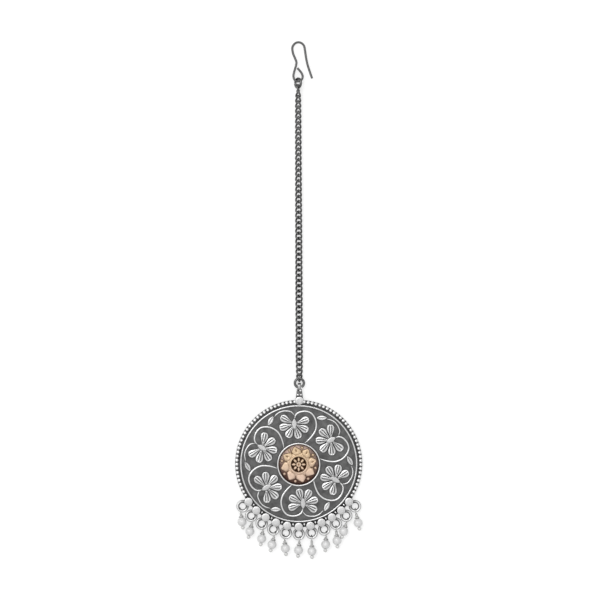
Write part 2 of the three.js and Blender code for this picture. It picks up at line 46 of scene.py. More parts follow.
BORDER_RADIUS = 18.05
BORDER_WIDTH = 0.64
BORDER_RISE = 0.5
BEZEL_RADIUS = 6.55
BEZEL_DROP = 0.24
BEZEL_WIDTH = 0.66
BEZEL_RISE = 0.85
RECESS_FLOOR = 0.75
BEZEL_OUTSIDE = BEZEL_RADIUS + BEZEL_WIDTH / 2
BORDER_INSIDE = BORDER_RADIUS - BORDER_WIDTH / 2

# Beads, domes and rings round the rim
BEAD_RADIUS = 0.6
BEAD_INSET = 0.57
BEAD_CIRCLE = PLATE_RADIUS - BEAD_INSET
BEAD_PITCH = 1.267
BEAD_TO_BAIL_DOME = 1.43
BEAD_TO_FRINGE_DOME = 2.16
# The smaller beads between the domes
SMALL_BEAD_SHARE = 0.75
SMALL_BEAD_INSET = 0.25
FRINGE_COUNT = 11
FRINGE_PITCH = 4.06
FRINGE_REACH = 2.15
FRINGE_CIRCLE = PLATE_RADIUS + FRINGE_REACH
FRINGE_STEP = math.degrees(FRINGE_PITCH / FRINGE_CIRCLE)
DOME_INSET = 0.19
DOME_CIRCLE = PLATE_RADIUS - DOME_INSET
DOME_RADIUS = 1.36
DOME_RISE = 1.05
# From foot to top: share of the radius, and share of the rise
DOME_PROFILE = [(1, -0.5), (1, 0.6), (0.95, 0.77), (0.9, 0.93), (0.78, 0.98), (0.4, 0.995), (0, 1)]
RING_MIDDLE = 1.46
RING_HALF_WIDTH = 0.46
RING_HEIGHT = 1
# Round the ring's wire, from its outside over its top: shares of its half width
RING_PROFILE = [
    (1, 0), (0.95, 0.4), (0.8, 0.72), (0.5, 0.92), (0.1, 0.95), (-0.3, 0.75),
    (-0.7, 0.4), (-1, 0.05), (-0.72, -0.72), (0, -0.95), (0.72, -0.72),
]

# Raised forms: steps across and along one, the skirt round its foot, and how its ends and grooves fade
ACROSS = 24
ALONG = 30
SKIRT = 0.16
SKIRT_DEPTH = 0.05
LEAST_HEIGHT = 0.03
END_ROUNDING = 0.35
GROOVE_FADE = 0.4
NICK_HALF_WIDTH = 0.12
NICK_HALF_LENGTH = 0.4

# Flowers on the field
FLOWER_COUNT = 6
FLOWER_BEARING = 36.3
SEED_REACH = 12.5
SEED_TURN = -11
SEED_TILT = 5
PETAL_REACH = 4.95
PETAL_LENGTH = 4.1
PETAL_WIDTH = 2.65
PETAL_RISE = 0.55
PETAL_GROOVES = (-0.3, 0.3)
PETAL_TURNS = (67, 111.5, 157, -67, -111.5, -157)
SEED_LENGTH = 3.5
SEED_WIDTH = 1.85
SEED_RISE = 0.7
LEAF_LENGTH = 3.45
LEAF_WIDTH = 1.75
LEAF_RISE = 0.42
# Lines of the scrolls and stems, narrower at their ends
SCROLL_RADIUS = 0.37
SCROLL_FLATNESS = 0.82
STEM_RADIUS = 0.3
STEM_FLATNESS = 0.9
LINE_TAPER = 0.4
LINE_STEPS = 4
# Bearing clockwise of the flower's seed, and reach as a share of the field from the bezel out to the border
SCROLL_ROWS = [
    {"bearing": 22.2, "reach": -0.03},
    {"bearing": 30.8, "reach": 0.18},
    {"bearing": 33, "reach": 0.41},
    {"bearing": 30.5, "reach": 0.6},
    {"bearing": 25.6, "reach": 0.76},
    {"bearing": 19.8, "reach": 0.865},
    {"bearing": 13.6, "reach": 0.885},
    {"bearing": 7.4, "reach": 0.85},
    {"bearing": 3, "reach": 0.775},
    {"bearing": 0.9, "reach": 0.66},
]
STEM_ROWS = [
    {"bearing": 1.6, "reach": 0.75},
    {"bearing": -1.8, "reach": 0.865},
    {"bearing": -6, "reach": 0.915},
    {"bearing": -11, "reach": 0.945},
    {"bearing": -16, "reach": 0.935},
    {"bearing": -21.5, "reach": 0.885},
]
LEAF_ROW = {"bearing": -26.9, "reach": 0.84, "turn": 27}

# Rosette
ROSETTE_CLEARANCE = 0.12
ROSETTE_THICKNESS = 0.4
ROSETTE_EDGE = 0.05
ROSETTE_FLOOR = RECESS_FLOOR + ROSETTE_CLEARANCE
ROSETTE_TOP = ROSETTE_FLOOR + ROSETTE_THICKNESS
ROSETTE_RADIUS = BEZEL_RADIUS - BEZEL_WIDTH / 2 - ROSETTE_CLEARANCE
ROSETTE_PETALS = 8
ROSETTE_BEARING = 10.8
ROSETTE_PETAL_REACH = 5.75
ROSETTE_PETAL_WIDTH = 3.35
ROSETTE_PETAL_RISE = 0.6
ROSETTE_PETAL_LEAN = 0.5
# The dent in a petal, which only those of the upper half have
NICK_DEPTH = 0.4
# Dots between the petals
DOT_REACH = 5.33
DOT_TURN = 0.2
DOT_RADIUS = 0.52
DOT_RISE = 0.5
# Seeds inside the hub
HUB_SEED_REACH = 1.52
HUB_SEED_LENGTH = 1.5
HUB_SEED_WIDTH = 0.85
HUB_SEED_RISE = 0.5
HUB_MIDDLE = 2.68
HUB_HALF_WIDTH = 0.33
# Share of the hub's half width, and height over the rosette's top
HUB_PROFILE = [(1, -0.1), (1, 0.45), (0.7, 0.68), (0, 0.74), (-0.6, 0.68), (-1, 0.4), (-1, -0.1)]
# Radius, and height over the rosette's top
COLLAR_PROFILE = [(HUB_MIDDLE, -0.05), (HUB_MIDDLE, 0.42), (3.55, 0.42), (3.8, 0.3), (3.95, -0.05)]
BOSS_PROFILE = [(0, -0.1), (0.82, -0.1), (0.82, 0.3), (0.7, 0.45), (0.35, 0.45), (0.15, 0.15), (0, 0.1)]

# Jump rings and bail
BAIL_OFFSET = 0.2
BAIL_BEARING = 90 - math.degrees(BAIL_OFFSET / DOME_CIRCLE)
JUMP_MIDDLE = 1.4
JUMP_WIRE = 0.4
JUMP_TOUCH = 0.12
STRUNG_HEIGHT = 1.15
BAIL_LENGTH = 5.35
BAIL_TOP = PLATE_RADIUS + BAIL_LENGTH
BAIL_WALL = 0.4
BAIL_SLOT_LENGTH = 1.7
BAIL_SLOT_SLACK = 0.22
BAIL_SLOT_HALF = JUMP_WIRE + BAIL_SLOT_SLACK
BAIL_WIDTH = 1.1
# Half widths of the bail's foot at the rim and at the slot
FOOT_HALF_WIDTH = 1.25
FOOT_TOP_HALF_WIDTH = 0.78
FOOT_THICKNESS = 1.3
FOOT_HEIGHT = 0.7
FOOT_OVERLAP = 0.3
FOOT_ROUNDING = 0.15
# Beads soldered on the bail, from its middle line and from the pendant's middle
BAIL_BEAD_RADIUS = 0.4
BAIL_BEAD_HEIGHT = 1.72
BAIL_BEAD_PLACES = [(-0.46, 21.5), (0.44, 21.5), (0.3, 22.8)]
JUMP_RING_Y = BAIL_TOP - BAIL_WALL - BAIL_SLOT_LENGTH + JUMP_WIRE + 2 * JUMP_TOUCH + JUMP_MIDDLE

# Curb chain
LINK_COUNT = 56
LINK_WIRE = 0.31
LINK_MIDDLE = 0.87
LINK_END = 1.11
LINK_PITCH = 1.64
LINK_TWIST = 90
LINK_STEPS = 28
LINK_BEND = 0.4
FIRST_LINK_Y = JUMP_RING_Y + JUMP_MIDDLE - JUMP_WIRE - JUMP_TOUCH - LINK_WIRE + LINK_END
STRAND_LEAN = 0.25
HOOK_RING_ROLL = 52
HOOK_RING_HEIGHT = JUMP_MIDDLE * math.sin(math.radians(HOOK_RING_ROLL)) + JUMP_WIRE
# Roll of the links about the chain's line and their climb to the upper ring, from the hook to the pendant
ROLL_ROWS = [
    {"along": 0, "roll": HOOK_RING_ROLL + LINK_TWIST / 2, "climb": 1},
    {"along": 0.02, "roll": 56, "climb": 0.6},
    {"along": 0.05, "roll": 48, "climb": 0},
    {"along": 0.12, "roll": 42, "climb": 0},
    {"along": 0.3, "roll": 34, "climb": 0},
    {"along": 0.52, "roll": 14, "climb": 0},
    {"along": 0.7, "roll": 0, "climb": 0},
    {"along": 0.92, "roll": 0, "climb": 0},
    {"along": 1, "roll": -LINK_TWIST / 2, "climb": 0},
]
HOOK_RING_Y = (FIRST_LINK_Y + (LINK_COUNT - 1) * LINK_PITCH + LINK_END
               - LINK_WIRE - JUMP_TOUCH - JUMP_WIRE + JUMP_MIDDLE)

# Hook
HOOK_WIRE = 0.34
EYE_RADIUS = 1.42
CROOK_RADIUS = 1.95
CROOK_RISE = 8.85
CROOK_OFFSET = 0.17
WAIST_OFFSET = -0.5
WAIST_SHARE = 0.48
POINT_DROP = 9.35
POINT_SPLAY = 2.25
KINK_SHARE = 0.49
KINK_SPLAY = 0.75
# From the crook's middle down its shank, and round the eye's middle to the end of the wire
SHANK_POINTS = [(-1.62, -1.7), (-1.02, -3.14)]
CROOK_ANGLES = (0, 30, 60, 90, 120, 150, 175, 197)
CROOK_STRETCH = 1.08
EYE_ANGLES = (180, 225, 270, 315, 350)
EYE_START = (-1.32, 1.2)
EYE_END_POINTS = [(1.38, 0.5), (0.9, 1.5), (-0.17, 2.78)]
EYE_Y = HOOK_RING_Y + JUMP_MIDDLE - JUMP_WIRE - JUMP_TOUCH - HOOK_WIRE + EYE_RADIUS

# Pearl drops
PEARL_RADIUS = 1.42
PEARL_BORE = 0.26
PIN_WIRE = 0.17
PIN_BALL_RADIUS = 0.64
PIN_BALL_GAP = 0.03
# From its top down, the flattened tip under a pearl: shares of its radius
TIP_PROFILE = [
    (0, 0), (0.45, 0.03), (0.92, -0.12), (1, -0.35),
    (0.93, -0.75), (0.66, -1.25), (0.3, -1.47), (0, -1.5),
]
# The coil over a pearl: how much wider it starts, and over how many turns it narrows
NECK_RADIUS = 0.34
COIL_SPREAD = 0.48
COIL_NARROWING_TURNS = 1.5
COIL_WIRE_SHARE = 0.95
PIN_EYE_MIDDLE = 0.81
PIN_EYE_SLIP = 0.05
DROP_REACH = 3.65
DROP_SHIFT = 0.11
DROP_ROWS = [
    {"hold": -27, "turn": 8, "reach": 1},
    {"hold": 17, "turn": -14, "reach": 1},
    {"hold": 20, "turn": -9, "reach": 0.94},
    {"hold": 17, "turn": -14, "reach": 0.97},
    {"hold": -20, "turn": 6, "reach": 0.97},
    {"hold": 12, "turn": -6, "reach": 1},
    {"hold": 0, "turn": 1, "reach": 1.18},
    {"hold": 25, "turn": -3, "reach": 0.95},
    {"hold": 4, "turn": 4, "reach": 1.08},
    {"hold": 13, "turn": -18, "reach": 1},
    {"hold": 8, "turn": 12, "reach": 1.07},
]

# Studio: a glowing table under an open sky, whose strength grows from the horizon to a height, as a share
ZENITH_LIGHT = 1.15
HORIZON_LIGHT = 0.35
ZENITH_FROM = 0.75
TABLE_GREY = "#a2a2a2"
TABLE_GLOW = 0.58
# Places and sizes in metres, turns in degrees, powers in watts
LAMPS = [
    {"name": "overhead", "place": (-0.3, 0.5, 1.3), "turn": (-20, -12, 0), "size": 0.9, "power": 8},
    {"name": "side", "place": (-0.9, 0.6, 0.7), "turn": (0, -55, 35), "size": 0.5, "power": 3},
]
# Camera: lens and sensor in mm, the view's middle and width in metres
LENS = 150
SENSOR = 36
VIEW_MIDDLE = (0.00039, 0.05106)
VIEW_WIDTH = 0.1875


# Places and lines
def polar(radius, degrees, z=0):
    return Vector((radius * math.cos(math.radians(degrees)), radius * math.sin(math.radians(degrees)), z))


def lerp(a, b, share):
    return a + (b - a) * share


def at(point, degrees=90):
    """A place on the face for a shape that was made along +Y: its +Y points along the bearing."""
    return Matrix.Translation(point) @ Matrix.Rotation(math.radians(degrees - 90), 4, "Z")


def curve_through(points, steps):
    """A smooth line through the points, with this many steps between each two."""
    ends = [2 * points[0] - points[1], *points, 2 * points[-1] - points[-2]]
    line = []
    for a, b, c, d in zip(ends, ends[1:], ends[2:], ends[3:]):
        for i in range(steps):
            t = i / steps
            line.append(0.5 * (2 * b + (c - a) * t + (2 * a - 5 * b + 4 * c - d) * t ** 2
                               + (3 * b - a - 3 * c + d) * t ** 3))
    return line + [points[-1]]


def column(rows, place, name):
    """One column of a table of rows at a place between two of them."""
    after = next(i for i, row in enumerate(rows) if i and (row["along"] >= place or i == len(rows) - 1))
    low, high = rows[after - 1], rows[after]
    return lerp(low[name], high[name], (place - low["along"]) / (high["along"] - low["along"]))


# Shapes
def lathe(bm, profile, place=Matrix.Identity(4), steps=48, hoop=False):
    """Turns a profile of (radius, height) about its place's Z. A hoop's profile closes on itself."""
    corners = [bm.verts.new((radius, 0, height)) for radius, height in profile]
    pairs = list(zip(corners, corners[1:])) + ([(corners[-1], corners[0])] if hoop else [])
    edges = [bm.edges.new(pair) for pair in pairs]
    old = set(bm.verts) - set(corners)
    bmesh.ops.spin(bm, geom=corners + edges, cent=(0, 0, 0), axis=(0, 0, 1), angle=2 * math.pi,
                   steps=steps, use_merge=True)
    made = [v for v in bm.verts if v not in old]
    bmesh.ops.remove_doubles(bm, verts=made, dist=1e-4)
    bmesh.ops.transform(bm, matrix=place, verts=[v for v in bm.verts if v not in old])


def ball(bm, radius, place, rise=None, sides=16):
    stretch = Matrix.Diagonal((radius, radius, rise or radius, 1))
    bmesh.ops.create_uvsphere(bm, u_segments=sides, v_segments=sides // 2 + 2, radius=1,
                              matrix=place @ stretch)


def sweep(bm, line, radius, sides=10, closed=False, up=Vector((0, 0, 1)), flat=1, taper=0):
    """A wire along a line. flat squeezes it along up, and taper narrows its ends."""
    places = []
    count = len(line)
    for i, point in enumerate(line):
        before = line[i - 1] if closed or i else point
        after = line[(i + 1) % count] if closed or i < count - 1 else point
        along = (after - before).normalized()
        side = up.cross(along).normalized()
        above = along.cross(side)
        if closed and flat != 1:
            above = up
        share = 1 - taper * (1 - math.sin(math.pi * i / (count - 1))) ** 4
        turn = Matrix((side * radius * share, above * radius * share * flat, along)).transposed()
        places.append(Matrix.Translation(point) @ turn.to_4x4())
        if not closed:
            up = above
    circle = bmesh.ops.create_circle(bm, cap_ends=not closed, radius=1, segments=sides, matrix=places[0])
    rim = list({e for v in circle["verts"] for e in v.link_edges})
    first = rim
    for a, b in zip(places, places[1:]):
        made = bmesh.ops.extrude_edge_only(bm, edges=rim)["geom"]
        verts = [g for g in made if isinstance(g, bmesh.types.BMVert)]
        rim = [g for g in made if isinstance(g, bmesh.types.BMEdge) and set(g.verts) <= set(verts)]
        bmesh.ops.transform(bm, matrix=b @ a.inverted(), verts=verts)
    if closed:
        bmesh.ops.bridge_loops(bm, edges=first + rim)
    else:
        bmesh.ops.edgeloop_fill(bm, edges=rim)


def club(along):
    """Half width of a petal with a narrow heel and a round toe."""
    swell = lerp(0.3, 1, 0.5 - 0.5 * math.cos(math.pi * min(1, along / 0.7)))
    return swell * math.sqrt(max(0, 1 - max(0, (along - 0.7) / 0.3) ** 2))


def spindle(along):
    """Half width of a leaf or seed that is pointed at both ends."""
    return math.sin(math.pi * along) ** 0.85


def arrow(along):
    """Half width of a petal that widens from its heel and then curves in to a point."""
    if along < 0.4:
        return lerp(0.74, 1, along / 0.4)
    return 1 - 0.96 * ((along - 0.4) / 0.6) ** 1.35


def raised(bm, place, half_at, length, width, rise,
           grooves=(), depth=0.85, spread=0.13, nick=0, lean=0, flat=5):
    """A raised form along +Y with rounded sides and a low skirt round its foot. half_at gives its half width
    along it, as a share. Each groove runs along it at that share of its half width, and spread is a groove's
    width. nick is the depth of a short dent in its middle, lean is how far its toe stands to the left of its
    heel, and a larger flat makes its top flatter."""
    made = bmesh.ops.create_grid(bm, x_segments=ACROSS + 2, y_segments=ALONG, size=1)["verts"]
    for v in made:
        step = round((v.co.x + 1) / 2 * (ACROSS + 2)) - 1
        along = 0.5 - 0.5 * math.cos(math.pi * (v.co.y + 1) / 2)
        half = half_at(along) * width / 2
        y = (along - 0.5) * length
        middle = lean * (0.5 - along)
        if step in (-1, ACROSS + 1):
            v.co = (middle + math.copysign(half + SKIRT, step), y, -SKIRT_DEPTH)
            continue
        near_end = min(1, min(along, 1 - along) * length / END_ROUNDING)
        shoulder = math.sqrt(1 - (1 - near_end) ** 2)
        to_toe = max(0, (1 - along) * length - END_ROUNDING)
        fade = min(1, to_toe / GROOVE_FADE) * min(1, along * 4)
        share = -math.cos(math.pi * step / ACROSS)
        crown = math.sqrt(max(0, 1 - abs(share) ** flat))
        cut = sum(math.exp(-((share - groove) / spread) ** 2) for groove in grooves)
        dent = nick * math.exp(-((share * half / NICK_HALF_WIDTH) ** 2) - ((y / NICK_HALF_LENGTH) ** 2))
        height = rise * shoulder * crown * (1 - depth * cut * fade) - dent
        v.co = (middle + share * half, y, max(LEAST_HEIGHT, height))
    faces = {f for v in made for f in v.link_faces}
    rim = [e for e in {e for f in faces for e in f.edges} if len(e.link_faces) == 1]
    bmesh.ops.edgeloop_fill(bm, edges=rim)
    bmesh.ops.transform(bm, matrix=place, verts=made)


def finish_piece(name, bm, materials, nodes=(), sharp=50):
    bmesh.ops.remove_doubles(bm, verts=bm.verts, dist=1e-4)
    bmesh.ops.dissolve_degenerate(bm, edges=bm.edges, dist=1e-4)
    bmesh.ops.recalc_face_normals(bm, faces=bm.faces)
    bmesh.ops.scale(bm, vec=(0.001, 0.001, 0.001), verts=bm.verts)
    for face in bm.faces:
        face.smooth = True
    mesh = bpy.data.meshes.new(name)
    bm.to_mesh(mesh)
    bm.free()
    mesh.set_sharp_from_angle(angle=math.radians(sharp))
    for material in materials:
        mesh.materials.append(material)
    made = bpy.data.objects.new(name, mesh)
    bpy.context.collection.objects.link(made)
    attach(made, "root")
    if nodes:
        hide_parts(*nodes)
    return made


# Finishes. Casting pits and cloudy patches are sized in mm, and the fringe's side begins between two places
# on Y.
PIT_SIZE = 0.12
WIRE_PATCH = 2.5
NACRE_PATCH = 1.2
LOWER_FROM = 3
LOWER_TO = -4


def linear(text):
    """An sRGB hex colour as linear RGBA."""
    parts = [int(text[i:i + 2], 16) / 255 for i in (1, 3, 5)]
    return [p / 12.92 if p <= 0.04045 else ((p + 0.055) / 1.055) ** 2.4 for p in parts] + [1]


def add_node(tree, kind, settings=None, links=None):
    """Adds a node. A setting is an input by its name or number, or else a property, and a link joins an input
    to another node's output."""
    made = tree.nodes.new(kind)
    for name, value in (settings or {}).items():
        if isinstance(name, int) or name in made.inputs:
            made.inputs[name].default_value = value
        else:
            setattr(made, name, value)
    for name, source in (links or {}).items():
        tree.links.new(source, made.inputs[name])
    return made


def new_finish(name):
    material = bpy.data.materials.new(name)
    material.use_nodes = True
    tree = material.node_tree
    tree.nodes.clear()
    return material, tree, add_node(tree, "ShaderNodeTexCoord").outputs["Object"]


def oxidised_silver(name, dark, bright, low, high, rough=(0.5, 0.3), patch=1.3, uneven=0.35,
                    lower=None, crown=None, plate_shade=None):
    """Cast silver-plated alloy, blackened and then rubbed back: grey and dull in the hollows, bright and
    smooth on what stands up. low and high are the heights over the back between which it clears, rough is the
    roughness where it is black and where it is rubbed, patch is the size of the cloudy tarnish in mm and
    uneven its strength. lower is the bright colour at the side of the fringe, crown a greyer colour painted
    on the top as painted shade, with the heights between which it begins, and joint the distances from the
    pendant's middle between which a painted shade towards the plate ends."""
    material, tree, place = new_finish(name)
    axes = add_node(tree, "ShaderNodeSeparateXYZ", links={0: place})
    clear = add_node(tree, "ShaderNodeMapRange", {"From Min": low * 0.001, "From Max": high * 0.001},
                     {"Value": axes.outputs["Z"]})
    clearing = clear.outputs["Result"]
    # Painted shade: the clearing fades out towards the plate
    if plate_shade:
        away = add_node(tree, "ShaderNodeVectorMath", {"operation": "LENGTH"}, {0: place})
        plate_shade_fade = add_node(tree, "ShaderNodeMapRange",
                             {"From Min": plate_shade[0] * 0.001, "From Max": plate_shade[1] * 0.001},
                             {"Value": away.outputs["Value"]})
        clearing = add_node(tree, "ShaderNodeMath", {"operation": "MULTIPLY"},
                            {0: clearing, 1: plate_shade_fade.outputs["Result"]}).outputs[0]
    patches = add_node(tree, "ShaderNodeTexNoise", {"Scale": 1000 / patch, "Detail": 3}, {"Vector": place})
    worn = add_node(tree, "ShaderNodeMath", {"operation": "MULTIPLY_ADD", 1: uneven, 2: -uneven / 2},
                    {0: patches.outputs[0]})
    rubbed = add_node(tree, "ShaderNodeMath", {"operation": "ADD", "use_clamp": True},
                      {0: clearing, 1: worn.outputs[0]})
    down = add_node(tree, "ShaderNodeMapRange",
                    {"From Min": LOWER_FROM * 0.001, "From Max": LOWER_TO * 0.001},
                    {"Value": axes.outputs["Y"]})
    plated = add_node(tree, "ShaderNodeMix",
                      {"data_type": "RGBA", 6: linear(bright), 7: linear(lower or bright)},
                      {0: down.outputs["Result"]})
    # Painted shade: a greyer colour over the top
    if crown:
        top = add_node(tree, "ShaderNodeMapRange",
                       {"From Min": crown[1] * 0.001, "From Max": crown[2] * 0.001},
                       {"Value": axes.outputs["Z"]})
        plated = add_node(tree, "ShaderNodeMix", {"data_type": "RGBA", 7: linear(crown[0])},
                          {0: top.outputs["Result"], 6: plated.outputs[2]})
    colour = add_node(tree, "ShaderNodeMix", {"data_type": "RGBA", 6: linear(dark)},
                      {0: rubbed.outputs[0], 7: plated.outputs[2]})
    dulled = add_node(tree, "ShaderNodeMapRange", {"To Min": rough[0], "To Max": rough[1]},
                      {"Value": rubbed.outputs[0]})
    pits = add_node(tree, "ShaderNodeTexNoise", {"Scale": 1000 / PIT_SIZE, "Detail": 2}, {"Vector": place})
    bump = add_node(tree, "ShaderNodeBump", {"Strength": 0.25, "Distance": 0.00002},
                    {"Height": pits.outputs[0]})
    shader = add_node(tree, "ShaderNodeBsdfPrincipled", {"Metallic": 1.0},
                      {"Base Color": colour.outputs[2], "Roughness": dulled.outputs[0],
                       "Normal": bump.outputs[0]})
    add_node(tree, "ShaderNodeOutputMaterial", links={"Surface": shader.outputs[0]})
    return material


def drawn_wire(name, colour, roughness):
    """Drawn and plated wire, tumbled: a smooth, slightly uneven tarnish."""
    material, tree, place = new_finish(name)
    patches = add_node(tree, "ShaderNodeTexNoise", {"Scale": 1000 / WIRE_PATCH, "Detail": 2},
                       {"Vector": place})
    tone = add_node(tree, "ShaderNodeMix",
                    {"data_type": "RGBA", 6: [c * 0.75 for c in linear(colour)[:3]] + [1], 7: linear(colour)},
                    {0: patches.outputs[0]})
    shader = add_node(tree, "ShaderNodeBsdfPrincipled", {"Metallic": 1.0, "Roughness": roughness},
                      {"Base Color": tone.outputs[2]})
    add_node(tree, "ShaderNodeOutputMaterial", links={"Surface": shader.outputs[0]})
    return material


def pearl_finish():
    """Round white pearl: pale nacre under a clear gloss."""
    material, tree, place = new_finish("cultured_pearl")
    patches = add_node(tree, "ShaderNodeTexNoise", {"Scale": 1000 / NACRE_PATCH, "Detail": 2},
                       {"Vector": place})
    tone = add_node(tree, "ShaderNodeMix", {"data_type": "RGBA", 6: linear("#b4b4b4"), 7: linear("#cacaca")},
                    {0: patches.outputs[0]})
    shader = add_node(tree, "ShaderNodeBsdfPrincipled",
                      {"Roughness": 0.3, "IOR": 1.53, "Coat Weight": 0.5, "Coat Roughness": 0.08},
                      {"Base Color": tone.outputs[2]})
    add_node(tree, "ShaderNodeOutputMaterial", links={"Surface": shader.outputs[0]})
    return material


# Pieces
def low_wire(middle, width, foot, rise, steps=8):
    """The profile of a line that stands on the plate with a softly flattened top, from its outer foot to its
    inner."""
    turns = [math.pi * i / steps for i in range(steps + 1)]
    return [(middle + width / 2 * math.cos(a), foot + rise * max(0, math.sin(a)) ** 0.6) for a in turns]


def make_plate(field, line):
    bm = bmesh.new()
    profile = [(0, 0), (PLATE_RADIUS - BACK_CHAMFER, 0), (PLATE_RADIUS, BACK_CHAMFER),
               (PLATE_RADIUS, RIM_TOP - RIM_CHAMFER), (PLATE_RADIUS - RIM_CHAMFER, RIM_TOP),
               (BORDER_RADIUS + BORDER_WIDTH / 2, RIM_TOP)]
    profile += low_wire(BORDER_RADIUS, BORDER_WIDTH, FIELD_TOP, BORDER_RISE)
    profile += [(BEZEL_RADIUS, FIELD_TOP), (BEZEL_RADIUS, RECESS_FLOOR / 2), (0, RECESS_FLOOR / 2)]
    lathe(bm, profile, steps=180)
    for face in bm.faces:
        middle = face.calc_center_median()
        off_border = abs(math.hypot(middle.x, middle.y) - BORDER_RADIUS)
        face.material_index = 1 if off_border < BORDER_WIDTH / 2 and middle.z > FIELD_TOP else 0
    finish_piece("pendant_plate", bm, [field, line], ["pendant"])


def make_bezel(metal):
    bm = bmesh.new()
    profile = [(0, RECESS_FLOOR / 2), (BEZEL_OUTSIDE, RECESS_FLOOR / 2)]
    profile += low_wire(BEZEL_RADIUS, BEZEL_WIDTH, FIELD_TOP, BEZEL_RISE)
    profile += [(BEZEL_RADIUS - BEZEL_WIDTH / 2, RECESS_FLOOR), (0, RECESS_FLOOR)]
    lathe(bm, profile, Matrix.Translation((0, -BEZEL_DROP, 0)), steps=120)
    finish_piece("rosette_bezel", bm, [metal])


def make_rim(metal, dome_metal, ring_metal):
    fringe_half = (FRINGE_COUNT - 1) / 2 * FRINGE_STEP
    top = math.degrees(BEAD_TO_BAIL_DOME / BEAD_CIRCLE)
    bottom = 180 - fringe_half - math.degrees(BEAD_TO_FRINGE_DOME / BEAD_CIRCLE)
    gaps = round(math.radians(bottom - top) * BEAD_CIRCLE / BEAD_PITCH)
    beads = bmesh.new()
    for i in range(gaps + 1):
        for side in (-1, 1):
            bearing = lerp(BAIL_BEARING + side * top, 90 + side * bottom, i / gaps)
            ball(beads, BEAD_RADIUS, Matrix.Translation(polar(BEAD_CIRCLE, bearing, RIM_TOP)))
    for i in range(FRINGE_COUNT - 1):
        bearing = 270 - fringe_half + (i + 0.5) * FRINGE_STEP
        place = Matrix.Translation(polar(BEAD_CIRCLE - SMALL_BEAD_INSET, bearing, RIM_TOP))
        ball(beads, BEAD_RADIUS * SMALL_BEAD_SHARE, place)
    finish_piece("rim_beads", beads, [metal])
    domes = bmesh.new()
    rings = bmesh.new()
    cap = [(0, DOME_PROFILE[0][1] * DOME_RISE)]
    cap += [(DOME_RADIUS * across, up * DOME_RISE) for across, up in DOME_PROFILE]
    loop = [(RING_MIDDLE + across * RING_HALF_WIDTH, up * RING_HALF_WIDTH) for across, up in RING_PROFILE]
    for i in range(FRINGE_COUNT):
        bearing = 270 - fringe_half + i * FRINGE_STEP
        lathe(domes, cap, Matrix.Translation(polar(DOME_CIRCLE, bearing, RIM_TOP)), steps=28)
        ring = Matrix.Translation(polar(FRINGE_CIRCLE, bearing, RING_HEIGHT))
        lathe(rings, loop, ring, steps=32, hoop=True)
    lathe(domes, cap, Matrix.Translation(polar(DOME_CIRCLE, BAIL_BEARING, RIM_TOP)), steps=28)
    finish_piece("domes", domes, [dome_metal])
    finish_piece("fringe_rings", rings, [ring_metal])


def on_field(flower, row):
    """A row's place on the field, for the flower whose seed has that bearing."""
    return polar(lerp(BEZEL_OUTSIDE, BORDER_INSIDE, row["reach"]), flower - row["bearing"], FIELD_TOP)


def make_flowers(metal, seed_metal, leaf_metal, line):
    petals = bmesh.new()
    seeds = bmesh.new()
    scrolls = bmesh.new()
    leaves = bmesh.new()
    for i in range(FLOWER_COUNT):
        flower = FLOWER_BEARING + i * 360 / FLOWER_COUNT
        seed = polar(SEED_REACH, flower, FIELD_TOP)
        axis = flower + SEED_TURN
        for turn in PETAL_TURNS:
            middle = seed + polar(PETAL_REACH - PETAL_LENGTH / 2, axis + turn)
            raised(petals, at(middle, axis + turn), club, PETAL_LENGTH, PETAL_WIDTH, PETAL_RISE,
                   grooves=PETAL_GROOVES, depth=0.82, spread=0.1)
        raised(seeds, at(seed, axis + SEED_TILT), spindle, SEED_LENGTH, SEED_WIDTH, SEED_RISE, flat=7)
        for rows, radius, flatness in ((SCROLL_ROWS, SCROLL_RADIUS, SCROLL_FLATNESS),
                                       (STEM_ROWS, STEM_RADIUS, STEM_FLATNESS)):
            points = [on_field(flower, row) for row in rows]
            sweep(scrolls, curve_through(points, LINE_STEPS), radius, taper=LINE_TAPER, flat=flatness)
        along = flower - LEAF_ROW["bearing"] + 90 + LEAF_ROW["turn"]
        raised(leaves, at(on_field(flower, LEAF_ROW), along), spindle, LEAF_LENGTH, LEAF_WIDTH, LEAF_RISE,
               grooves=(0,), depth=0.4)
    finish_piece("flowers", petals, [metal])
    finish_piece("flower_seeds", seeds, [seed_metal])
    finish_piece("scrolls", scrolls, [line])
    finish_piece("leaves", leaves, [leaf_metal])


